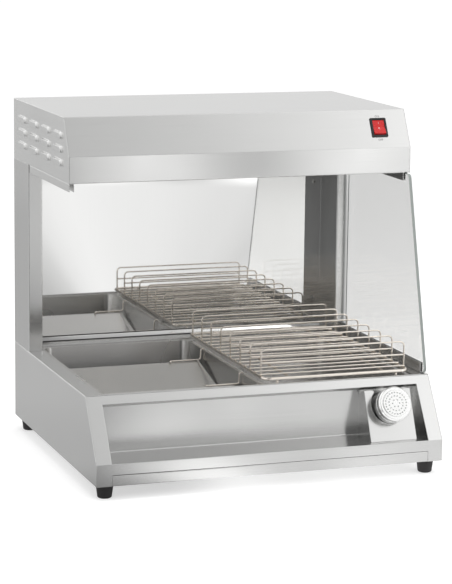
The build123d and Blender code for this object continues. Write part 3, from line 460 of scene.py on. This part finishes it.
# %% [markdown]
# ## Brushed stainless sheet
# The cabinet is folded from 304 stainless sheet with a brushed finish: an abrasive belt leaves fine
# straight scratches along the length of each blank. They make reflections soft across the grain and
# give faint streaks along it. The belt's lines are about 0.05 mm wide, too fine to show here, so they
# are drawn 1.5 mm wide. Noise stretched along one axis makes them, once for each way the grain runs.

# %% Brushed steel recipe
GRAIN_WIDTH = 1.5 * MM
GRAIN_STRETCH = 120
GRAIN_DEPTH = 0.1 * MM
FOLD_RADIUS = 1.2 * MM


def brushed_steel(name, colour, roughness, along, streak=0.035, bump=0.012, spread=0.92):
    """Steel sheet with its grain along X, Y or Z. Spread is how much further it blurs across the grain."""
    material, tree, output = new_material(name)
    coordinates = add_node(tree, "ShaderNodeTexCoord")
    across = 1 / GRAIN_WIDTH
    scales = [across] * 3
    scales["XYZ".index(along)] = across / GRAIN_STRETCH
    laid = add_node(tree, "ShaderNodeMapping", {
        "Vector": coordinates.outputs["Object"],
        "Scale": scales,
    })
    grain = add_node(tree, "ShaderNodeTexNoise", {
        "Vector": laid.outputs[0],
        "Scale": 1.0,
        "Detail": 3.0,
        "Roughness": 0.6,
    })
    patches = add_node(tree, "ShaderNodeTexNoise", {
        "Vector": coordinates.outputs["Object"],
        "Scale": 5.0,
        "Detail": 2.0,
    })
    tone = add_node(tree, "ShaderNodeMapRange", {
        "Value": grain.outputs["Fac"],
        "From Min": 0.3,
        "From Max": 0.7,
        "To Min": 1 - streak,
        "To Max": 1.0,
    })
    paint = add_node(tree, "ShaderNodeMix", {
        "Factor": 1.0,
        6: linear(colour),
        7: tone.outputs[0],
    }, data_type="RGBA", blend_type="MULTIPLY")
    worn = add_node(tree, "ShaderNodeMapRange", {
        "Value": patches.outputs["Fac"],
        "From Min": 0.3,
        "From Max": 0.7,
        "To Min": roughness * 0.9,
        "To Max": roughness * 1.1,
    })
    rounded = add_node(tree, "ShaderNodeBevel", {"Radius": FOLD_RADIUS}, samples=6)
    relief = add_node(tree, "ShaderNodeBump", {
        "Strength": bump,
        "Distance": GRAIN_DEPTH,
        "Height": grain.outputs["Fac"],
        "Normal": rounded.outputs[0],
    })
    across_grain = add_node(tree, "ShaderNodeCombineXYZ", {
        i: float(axis != along) for i, axis in enumerate("XYZ")
    })
    metal = add_node(tree, "ShaderNodeBsdfPrincipled", {
        "Base Color": paint.outputs[2],
        "Metallic": 1.0,
        "Roughness": worn.outputs[0],
        "Anisotropic": spread,
        "Normal": relief.outputs[0],
        "Tangent": across_grain.outputs[0],
    })
    finish_material(tree, output, metal)
    return material


sheet_x = brushed_steel("brushed 304 stainless, grain along X", "#dadad9", 0.20, "X")
sheet_y = brushed_steel("brushed 304 stainless, grain along Y", "#dadad9", 0.20, "Y")
sheet_z = brushed_steel("brushed 304 stainless, grain upright", "#dadad9", 0.20, "Z")
dress(sheet_x, "base_front", "base_floor", "base_back", "deck", "shelf_liner", "back_panel",
      "canopy_shell", "canopy_underside", "crumb_tray", "crumb_tray_front")
dress(sheet_y, "base_side_left", "base_side_right", "shelf_end_left", "shelf_end_right",
      "canopy_end_left", "canopy_end_right", "glass_channel_upper_left", "glass_channel_upper_right",
      "glass_channel_lower")
dress(sheet_z, "post_left", "post_right")
print("brushed panels dressed")

# %% [markdown]
# ## Polished and drawn steel
# The back of the heated bay is polished until it mirrors the food. The pans are drawn from softer
# sheet, and drawing leaves them satin, with fine scratches in no one direction. Panels that no one
# sees keep the dull finish of the mill. The ledge under the pans is given a dark steel colour, which is
# painted shade for the shadow in the gap round the pans' rims.

# %% Polished, drawn and hidden steel
satin_steel = brushed_steel("fine satin stainless", "#dadad9", 0.18, "X", streak=0.02, spread=0.0)
mirror_steel = brushed_steel("polished 304 stainless", "#f0f0ef", 0.025, "Z",
                             streak=0.01, bump=0.0, spread=0.0)
pan_steel = brushed_steel("drawn satin stainless", "#d2d1cf", 0.26, "X", streak=0.05)
mill_steel = brushed_steel("mill-finish steel", "#b4b3b1", 0.42, "X")
# The ledge's dark steel colour is painted shade: it stands for the shadow in the gap round the pans' rims.
painted_shade_ledge_steel = brushed_steel("steel darkened as painted shade under the pans", "#5c5956", 0.45, "X", spread=0.0)
dress(satin_steel, "shaker_cradle")
dress(mirror_steel, "mirror_panel")
dress(pan_steel, "chip_pan", "drip_pan", "chip_trough")
dress(mill_steel, "heat_shield", "tray_runners", "element_clips", "reflector")
dress(painted_shade_ledge_steel, "pan_ledge")
print("pans and mirror dressed")

# %% [markdown]
# ## Bright wire
# The carton rack is welded from steel wire and plated. Plating rounds off the drawing marks, so the
# wire is smooth and nearly a mirror, a little warm beside the sheet. The screws are plated too, and the
# shaker is spun from aluminium, which is paler and whiter than steel.

# %% Plated wire and screws
wire = brushed_steel("bright plated wire", "#f0e9e0", 0.12, "X", streak=0.03, bump=0.0, spread=0.0)
dress(wire, "rack_rail", "rack_floor_wires", "rack_support_wires", "rack_posts", "rack_top_wires",
      "rack_middle_wires", "rack_feet", "trough_hangers")
screw = brushed_steel("plated screw steel", "#d0cfcd", 0.22, "X", streak=0.03, bump=0.0)
dress(screw, "foot_screws", "mirror_screws")
spun = brushed_steel("spun satin aluminium", "#f6f6f5", 0.24, "X", streak=0.02, bump=0.0, spread=0.0)
dress(spun, "salt_shaker_can", "salt_shaker_lid")
print("wire, screws and shaker dressed")

# %% [markdown]
# ## Rubber, plastics and ceramic
# Moulded and fired parts have one colour all through and a fine skin. Rubber and nylon are dull, while
# ABS and polycarbonate come shiny from a polished mould. The heaters are glazed and smooth, and the
# terminal blocks and the blackened element sheaths are matt. One recipe serves for all of them, with
# the width of the skin's grain given in millimetres.

# %% Dress what is moulded or fired
SKIN_DEPTH = 0.2 * MM


def moulded(name, colour, roughness, grain_mm, depth=0.05):
    """Moulded or fired stuff: one colour, a fine skin and a little unevenness."""
    material, tree, output = new_material(name)
    coordinates = add_node(tree, "ShaderNodeTexCoord")
    skin = add_node(tree, "ShaderNodeTexNoise", {
        "Vector": coordinates.outputs["Object"],
        "Scale": 1 / (grain_mm * MM),
        "Detail": 3.0,
    })
    shade = add_node(tree, "ShaderNodeMapRange", {
        "Value": skin.outputs["Fac"],
        "To Min": 0.9,
        "To Max": 1.06,
    })
    tint = add_node(tree, "ShaderNodeMix", {
        "Factor": 1.0,
        6: linear(colour),
        7: shade.outputs[0],
    }, data_type="RGBA", blend_type="MULTIPLY")
    relief = add_node(tree, "ShaderNodeBump", {
        "Strength": depth,
        "Distance": SKIN_DEPTH,
        "Height": skin.outputs["Fac"],
    })
    body = add_node(tree, "ShaderNodeBsdfPrincipled", {
        "Base Color": tint.outputs[2],
        "Roughness": roughness,
        "Normal": relief.outputs[0],
    })
    finish_material(tree, output, body)
    return material


dress(moulded("black moulded rubber", "#2b292a", 0.6, 2.0), "foot_front_left", "foot_front_right",
      "foot_rear_left", "foot_rear_right")
dress(moulded("black nylon", "#1c1c1d", 0.45, 1.5), "cable_gland")
dress(moulded("oxidised element sheath", "#4a4643", 0.5, 3.0), "base_elements")
dress(moulded("glazed heater ceramic", "#e8e2d4", 0.2, 6.0), "emitters")
dress(moulded("unglazed steatite", "#ddd6c4", 0.7, 1.5), "emitter_terminals", "element_terminals")
dress(moulded("black ABS", "#161617", 0.28, 1.0), "switch_housing")
dress(moulded("red polycarbonate", "#c01818", 0.2, 3.0, 0.01), "switch_rocker")
print("moulded and fired parts dressed")

# %% [markdown]
# ## Glass
# The side pane is toughened float glass. Its two broad faces are clear and polished. Its edges are
# ground, so they are matt and look grey-green.

# %% Dress the side pane
glass, tree, output = new_material("clear toughened glass")
clear = add_node(tree, "ShaderNodeBsdfPrincipled", {
    "Base Color": linear("#ebebea"),
    "Roughness": 0.0,
    "IOR": 1.52,
    "Transmission Weight": 1.0,
})
ground = add_node(tree, "ShaderNodeBsdfPrincipled", {
    "Base Color": linear("#8f9592"),
    "Roughness": 0.35,
})
facing = add_node(tree, "ShaderNodeNewGeometry").outputs["True Normal"]
sideways = add_node(tree, "ShaderNodeSeparateXYZ", {0: facing}).outputs["X"]
broad = add_node(tree, "ShaderNodeMath", {0: sideways}, operation="ABSOLUTE")
on_edge = add_node(tree, "ShaderNodeMath", {0: broad.outputs[0], 1: 0.5}, operation="LESS_THAN")
sheet_and_edge = add_node(tree, "ShaderNodeMixShader", {
    0: on_edge.outputs[0],
    1: clear.outputs[0],
    2: ground.outputs[0],
})
finish_material(tree, output, sheet_and_edge)
dress(glass, "side_glass")
print("all nodes dressed:", all(o.data.materials for o in NODES.values()))

# %% [markdown]
# ## Screws
# Pan-head machine screws with a cross recess hold the mirror, the back panel and the feet. One head is
# modelled: a low cylinder whose top is drawn in and up in two steps to a dome, with two crossed slots
# cut into it. The others are copies, and those that hold the same panel are joined into one piece.

# %% Helper that finishes a new piece
def settle(piece, name, body, material):
    """Bake a piece's turn and place into its mesh, name it, dress it and let it ride on a body."""
    bpy.ops.object.select_all(action="DESELECT")
    piece.select_set(True)
    bpy.context.view_layer.objects.active = piece
    bpy.ops.object.transform_apply(location=True, rotation=True, scale=True)
    piece.name = name
    piece.data.materials.clear()
    piece.data.materials.append(material)
    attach(piece, body)
    bpy.ops.object.select_all(action="DESELECT")
    return piece


# %% Model one screw head
HEAD_SIDES = 40
RIM_SHARE = 0.5                     # how much of the height is straight rim
DOME_STEPS = ((0.14, 0.30), (0.26, 0.20))   # in by a share of the radius, up by one of the height
SLOT_LENGTH = 1.1                   # shares of the radius
SLOT_WIDTH = 0.24
SLOT_DEPTH = 0.9                    # a share of the height, half of it above the head
PAN_HEAD = (4.5 * MM, 2.5 * MM)     # radius and height
FOOT_HEAD = (4.5 * MM, 3.5 * MM)
HEAD_SMOOTH = radians(35)           # edges that turn less than this are shaded smooth


def screw_head(radius, height):
    """A pan head that stands on the origin and faces up, with a cross recess."""
    bpy.ops.object.select_all(action="DESELECT")
    bpy.ops.mesh.primitive_cylinder_add(
        vertices=HEAD_SIDES,
        radius=radius,
        depth=height * RIM_SHARE,
        location=(0, 0, height * RIM_SHARE / 2),
    )
    head = bpy.context.object
    bpy.ops.object.transform_apply(location=True, rotation=True, scale=True)
    for face in head.data.polygons:
        face.select = face.normal.z > 0.9
    bpy.ops.object.mode_set(mode="EDIT")
    bpy.ops.mesh.select_mode(type="FACE")
    for inset, rise in DOME_STEPS:
        bpy.ops.mesh.inset(thickness=radius * inset)
        bpy.ops.transform.translate(value=(0, 0, height * rise))
    bpy.ops.object.mode_set(mode="OBJECT")
    for turn in (0, pi / 2):
        bpy.ops.object.select_all(action="DESELECT")
        bpy.ops.mesh.primitive_cube_add(
            size=1,
            location=(0, 0, height),
            rotation=(0, 0, turn),
            scale=(radius * SLOT_LENGTH, radius * SLOT_WIDTH, height * SLOT_DEPTH),
        )
        cutter = bpy.context.object
        slot = head.modifiers.new("slot", "BOOLEAN")
        slot.operation = "DIFFERENCE"
        slot.object = cutter
        bpy.context.view_layer.objects.active = head
        bpy.ops.object.modifier_apply(modifier=slot.name)
        bpy.data.objects.remove(cutter)
    head.select_set(True)
    bpy.ops.object.shade_smooth_by_angle(angle=HEAD_SMOOTH)
    return head


def set_screws(name, size, turn, places):
    """Copies of a head at each place, all turned the same way and joined into one piece."""
    head = screw_head(*size)
    copies = []
    for place in places:
        copy = head.copy()
        copy.data = head.data.copy()
        scene.collection.objects.link(copy)
        copy.rotation_euler = turn
        copy.location = place
        copies.append(copy)
    bpy.data.objects.remove(head)
    bpy.ops.object.select_all(action="DESELECT")
    for copy in copies:
        copy.select_set(True)
    bpy.context.view_layer.objects.active = copies[0]
    bpy.ops.object.join()
    return settle(bpy.context.object, name, "cabinet", screw)


print("pan head:", [round(v / MM, 1) for v in PAN_HEAD], "mm in radius and height")

# %% Screw the mirror and the feet on
low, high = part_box("mirror_screws")
mirror_heads = set_screws("mirror_screw_heads", PAN_HEAD, (pi / 2, 0, 0), [
    (x, high.y, z)
    for x in (low.x + PAN_HEAD[0], high.x - PAN_HEAD[0])
    for z in (low.z + PAN_HEAD[0], high.z - PAN_HEAD[0])
])
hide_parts("mirror_screws")
low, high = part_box("foot_screws")
foot_heads = set_screws("foot_screw_heads", FOOT_HEAD, (pi, 0, 0), [
    (x, y, high.z)
    for x in (low.x + FOOT_HEAD[0], high.x - FOOT_HEAD[0])
    for y in (low.y + FOOT_HEAD[0], high.y - FOOT_HEAD[0])
])
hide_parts("foot_screws")
print("screw faces:", len(mirror_heads.data.polygons), len(foot_heads.data.polygons))

# %% Screw the back panel on
BACK_MARGIN = 14 * MM
SCREWS_UP = 4
TOP_SCREW_X = 110 * MM              # two more hold the top edge, this far to each side of the middle
low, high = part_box("back_panel")
pitch = (high.z - low.z - 2 * BACK_MARGIN) / (SCREWS_UP - 1)
rows = [low.z + BACK_MARGIN + i * pitch for i in range(SCREWS_UP)]
set_screws("back_screw_heads", PAN_HEAD, (-pi / 2, 0, 0), [
    (x, high.y, z)
    for x in (low.x + BACK_MARGIN, high.x - BACK_MARGIN)
    for z in rows
] + [(x, high.y, rows[-1]) for x in (-TOP_SCREW_X, TOP_SCREW_X)])
print("back panel held by", len(rows) * 2 + 2, "screws")

# %% [markdown]
# ## Words at the switch
# The two states are printed above and below the switch in thin dark grey letters, and the rocker has
# the usual line and ring in white. A printed ink film is far thinner than a hair, so the letters stand
# only a tenth of a millimetre proud of the steel.

# %% Letters of printed ink
CAPITAL_SHARE = 0.72                # height of a capital as a share of the font's size
INK_PROUD = 0.1 * MM
CURVE_STEPS = 4
ink = moulded("dark grey printed ink", "#6a6a6c", 0.5, 2.0, 0.0)
mark_white = moulded("white moulded mark", "#f2ecec", 0.4, 2.0, 0.0)


def printed(text, height, place, lean):
    """Thin letters centred on a place, facing forward and up. Lean is their turn from lying flat."""
    bpy.ops.object.select_all(action="DESELECT")
    bpy.ops.object.text_add(location=(0, 0, 0))
    letters = bpy.context.object
    letters.data.body = text
    letters.data.size = height / CAPITAL_SHARE
    letters.data.align_x = "CENTER"
    letters.data.align_y = "CENTER"
    letters.data.extrude = INK_PROUD
    letters.data.resolution_u = CURVE_STEPS
    bpy.ops.object.convert(target="MESH")
    letters = bpy.context.object
    letters.rotation_euler = (lean, 0, 0)
    letters.location = place
    return letters


print("ink stands", round(INK_PROUD / MM, 2), "mm proud")

# %% Print the words and marks
WORD_HEIGHT = 4.4 * MM
MARK_HEIGHT = 3.6 * MM
SLOPE_FOOT_Z = 619 * MM             # height of the slope's lower edge
SLOPE_TOP_Y = -78.8 * MM            # depth at which its upper edge lies
RAY_START = 30 * MM
# Each has its text, its name and how far up the slope its middle stands.
WORDS = (("ON", "word_on", 66.3 * MM), ("OFF", "word_off", 17.0 * MM))
MARKS = (("I", "mark_line", 52 * MM), ("O", "mark_ring", 41 * MM))
bezel_low, bezel_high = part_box("switch_housing")
shell_low, shell_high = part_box("canopy_shell")
switch_x = (bezel_low.x + bezel_high.x) / 2
slope_foot = Vector((0, shell_low.y, SLOPE_FOOT_Z))
slope_top = Vector((0, SLOPE_TOP_Y, shell_high.z))
up_slope = (slope_top - slope_foot).normalized()
off_slope = Vector((0, -up_slope.z, up_slope.y))
slope_turn = atan2(up_slope.z, up_slope.y)


def on_slope(up):
    """The point of the canopy's slope at the switch's middle, this far up from its lower edge."""
    return slope_foot + Vector((switch_x, 0, 0)) + up_slope * up


for text, name, up in WORDS:
    settle(printed(text, WORD_HEIGHT, on_slope(up), slope_turn), name, "cabinet", ink)
for text, name, up in MARKS:
    spot, normal = NODES["switch_rocker"].ray_cast(on_slope(up) + off_slope * RAY_START, -off_slope)[1:3]
    mark = printed(text, MARK_HEIGHT, spot, atan2(-normal.y, normal.z))
    settle(mark, name, "power_rocker", mark_white)
print("switch stands at x", round(switch_x / MM), "mm")

# %% [markdown]
# ## Rail along the mirror's foot
# A low strip of sheet stands before the foot of the polished back and keeps pans and cloths off its
# edge. It leans back, so that it catches the light of the room and runs across the bay as a bright line.
# Crumbs and oil must not run down behind it, so silicone seals it above and below. The beads' dark grey
# is painted shade: it draws the shadow lines in the joints at the rail's top and foot.

# %% Fit the rail and its two beads
RAIL_HEIGHT = 9 * MM
RAIL_SHEET = 1.2 * MM
RAIL_LEAN = radians(23)
RAIL_ROUNDING = 0.3 * MM
BEAD = 1.8 * MM
BEAD_ROUNDING = 0.6 * MM
STRIP_SMOOTH = radians(50)
rail_steel = brushed_steel("rail of bright-rolled stainless", "#efefee", 0.15, "X", spread=0.7)
# The beads' dark grey is painted shade for the shadow lines in the rail's joints.
sealant_and_shade = moulded("grey silicone, dark as painted shade", "#4b4947", 0.35, 4.0)
mirror_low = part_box("mirror_panel")[0]
bay_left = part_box("post_left")[1].x
bay_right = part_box("post_right")[0].x
rail_back = RAIL_HEIGHT * tan(RAIL_LEAN) / 2 + RAIL_SHEET / 2


def across_bay(name, y, z, depth, height, lean, rounding, material):
    """A straight strip from post to post, with its middle this far out from the mirror's foot."""
    bpy.ops.object.select_all(action="DESELECT")
    bpy.ops.mesh.primitive_cube_add(
        size=1,
        location=((bay_left + bay_right) / 2, mirror_low.y - y, mirror_low.z + z),
        rotation=(-lean, 0, 0),
        scale=(bay_right - bay_left, depth, height),
    )
    strip = bpy.context.object
    bpy.ops.object.transform_apply(location=True, rotation=True, scale=True)
    edges = strip.modifiers.new("rounding", "BEVEL")
    edges.width = rounding
    edges.segments = 3
    bpy.ops.object.modifier_apply(modifier=edges.name)
    bpy.ops.object.shade_smooth_by_angle(angle=STRIP_SMOOTH)
    settle(strip, name, "cabinet", material)


across_bay("mirror_rail", rail_back, RAIL_HEIGHT / 2, RAIL_SHEET, RAIL_HEIGHT / cos(RAIL_LEAN),
           RAIL_LEAN, RAIL_ROUNDING, rail_steel)
for name, y, z in (("mirror_bead", BEAD / 2, RAIL_HEIGHT + BEAD / 2),
                   ("rail_bead", 2 * rail_back + BEAD / 2, BEAD / 2)):
    across_bay(name, y, z, BEAD, BEAD, 0, BEAD_ROUNDING, sealant_and_shade)
print("rail length in mm:", round((bay_right - bay_left) / MM))

# %% [markdown]
# ## Finish
# The last cell sets the colour view to Standard and closes the lesson.

# %% Set the colour view and close
scene.view_settings.view_transform = "Standard"
